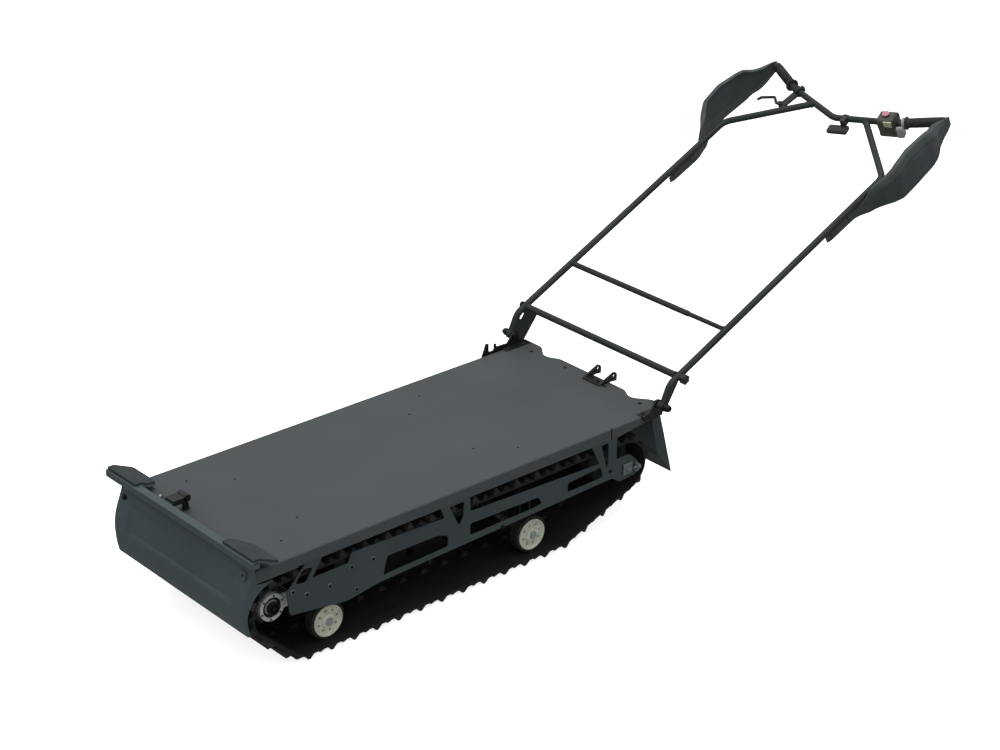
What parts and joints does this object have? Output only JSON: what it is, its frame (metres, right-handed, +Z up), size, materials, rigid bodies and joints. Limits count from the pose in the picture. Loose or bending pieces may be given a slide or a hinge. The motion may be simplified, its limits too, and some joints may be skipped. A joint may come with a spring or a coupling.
{
  "type": "tracked flatbed carrier",
  "caption": "Low powered flatbed carrier on one wide rubber crawler track, with a fold-over push handle, hand guards, brake lever and thumb throttle.",
  "frame": {"origin": "ground level, under the centre of the bounding box at rest", "axes": "+Z up; +Y from the front cover to the handle, where the operator stands; +X to the operator's left as they face the front"},
  "size_m": [0.87, 2.775, 1.0375],
  "materials": {
    "deck_paint": "dark grey textured powder coat",
    "frame_paint": "dark grey satin powder coat",
    "tube_paint": "charcoal satin powder coat",
    "black_steel": "black e-coated steel",
    "zinc": "zinc-plated steel",
    "wheel_plastic": "natural nylon",
    "rubber": "black moulded rubber",
    "black_plastic": "black grained nylon",
    "olive_plastic": "dark olive moulded plastic",
    "red_plastic": "red moulded plastic"
  },
  "bodies": {
    "chassis": {"deck_plate": "deck_paint", "front_cover": "frame_paint", "stop_bar": "frame_paint", "stop_pad_left": "rubber", "stop_pad_right": "rubber", "strap_catch": "black_steel", "side_plate_left": "frame_paint", "side_plate_right": "frame_paint", "track_belt": "rubber", "cross_tube_front": "frame_paint", "cross_tube_rear": "frame_paint", "slide_rail_left": "frame_paint", "slide_rail_right": "frame_paint", "road_axle_front": "zinc", "road_axle_rear": "zinc", "drive_motor": "black_plastic", "drive_bearing_left": "zinc", "drive_bearing_right": "zinc", "battery_box": "black_plastic", "rear_apron": "frame_paint", "tow_hitch": "black_steel", "pivot_bracket_left": "black_steel", "pivot_bracket_right": "black_steel", "pivot_pin_left": "zinc", "pivot_pin_right": "zinc", "track_adjuster_left": "zinc", "track_adjuster_right": "zinc"},
    "drive": {"drive_shaft": "zinc", "drive_sprocket_left": "black_plastic", "drive_sprocket_right": "black_plastic"},
    "tensioner": {"tensioner": "zinc"},
    "idler": {"idler_wheel_left": "black_plastic", "idler_wheel_right": "black_plastic"},
    "road_wheel_front_left": {"road_hub_front_left": "wheel_plastic", "road_tyre_front_left": "rubber"},
    "road_wheel_front_right": {"road_hub_front_right": "wheel_plastic", "road_tyre_front_right": "rubber"},
    "road_wheel_rear_left": {"road_hub_rear_left": "wheel_plastic", "road_tyre_rear_left": "rubber"},
    "road_wheel_rear_right": {"road_hub_rear_right": "wheel_plastic", "road_tyre_rear_right": "rubber"},
    "handle": {"handlebar": "tube_paint", "handle_tube_left": "tube_paint", "handle_tube_right": "tube_paint", "gusset_left": "tube_paint", "gusset_right": "tube_paint", "lower_crossbar": "tube_paint", "upper_crossbar": "tube_paint", "grip_left": "rubber", "grip_right": "rubber", "hand_guard_left": "black_plastic", "hand_guard_right": "black_plastic", "lever_perch": "tube_paint", "control_pod": "olive_plastic", "gauge_lens": "olive_plastic", "display": "black_plastic"},
    "crossbar_knob": {"crossbar_knob": "black_plastic"},
    "brake_lever": {"brake_lever": "tube_paint"},
    "thumb_throttle": {"thumb_throttle": "black_plastic"},
    "stop_button": {"stop_button": "red_plastic"}
  },
  "joints": [
    {"name": "handle_fold", "type": "hinge", "parent": "chassis", "child": "handle", "pos_m": [0, 0.14552, 0.384], "axis": [1, 0, 0], "range_deg": [0, 135]},
    {"name": "drive_spin", "type": "hinge", "parent": "chassis", "child": "drive", "pos_m": [0, -1.27148, 0.198], "axis": [1, 0, 0], "continuous": true},
    {"name": "belt_tension", "type": "slide", "parent": "chassis", "child": "tensioner", "axis": [0, -1, 0], "range_m": [0, 0.012]},
    {"name": "idler_spin", "type": "hinge", "parent": "tensioner", "child": "idler", "pos_m": [0, 0.03052, 0.2], "axis": [1, 0, 0], "continuous": true},
    {"name": "road_front_left_spin", "type": "hinge", "parent": "chassis", "child": "road_wheel_front_left", "pos_m": [0, -1.08548, 0.085], "axis": [1, 0, 0], "continuous": true},
    {"name": "road_front_right_spin", "type": "hinge", "parent": "chassis", "child": "road_wheel_front_right", "pos_m": [0, -1.08548, 0.085], "axis": [1, 0, 0], "continuous": true},
    {"name": "road_rear_left_spin", "type": "hinge", "parent": "chassis", "child": "road_wheel_rear_left", "pos_m": [0, -0.32548, 0.085], "axis": [1, 0, 0], "continuous": true},
    {"name": "road_rear_right_spin", "type": "hinge", "parent": "chassis", "child": "road_wheel_rear_right", "pos_m": [0, -0.32548, 0.085], "axis": [1, 0, 0], "continuous": true},
    {"name": "knob_turn", "type": "hinge", "parent": "handle", "child": "crossbar_knob", "pos_m": [0.37, 0.20782, 0.46415], "axis": [1, 0, 0], "continuous": true},
    {"name": "brake_pull", "type": "hinge", "parent": "handle", "child": "brake_lever", "pos_m": [-0.22, 1.22934, 0.9503], "axis": [0, 0.4297, -0.903], "range_deg": [0, 18], "stiffness_Nm_per_rad": 1.5, "springref_deg": -11.46},
    {"name": "throttle_press", "type": "hinge", "parent": "handle", "child": "thumb_throttle", "pos_m": [0.2385, 1.31258, 0.98991], "axis": [-0.8983, -0.3967, -0.1888], "range_deg": [0, 25], "stiffness_Nm_per_rad": 0.5, "springref_deg": -17.19},
    {"name": "stop_press", "type": "slide", "parent": "handle", "child": "stop_button", "axis": [0, 0.4297, -0.903], "range_m": [0, 0.004], "stiffness_N_per_m": 800, "springref_m": -0.002}
  ],
  "couplings": [
    {"joint": "idler_spin", "follows": "drive_spin", "ratio": 1},
    {"joint": "road_front_left_spin", "follows": "drive_spin", "ratio": 1.3448},
    {"joint": "road_front_right_spin", "follows": "drive_spin", "ratio": 1.3448},
    {"joint": "road_rear_left_spin", "follows": "drive_spin", "ratio": 1.3448},
    {"joint": "road_rear_right_spin", "follows": "drive_spin", "ratio": 1.3448}
  ]
}
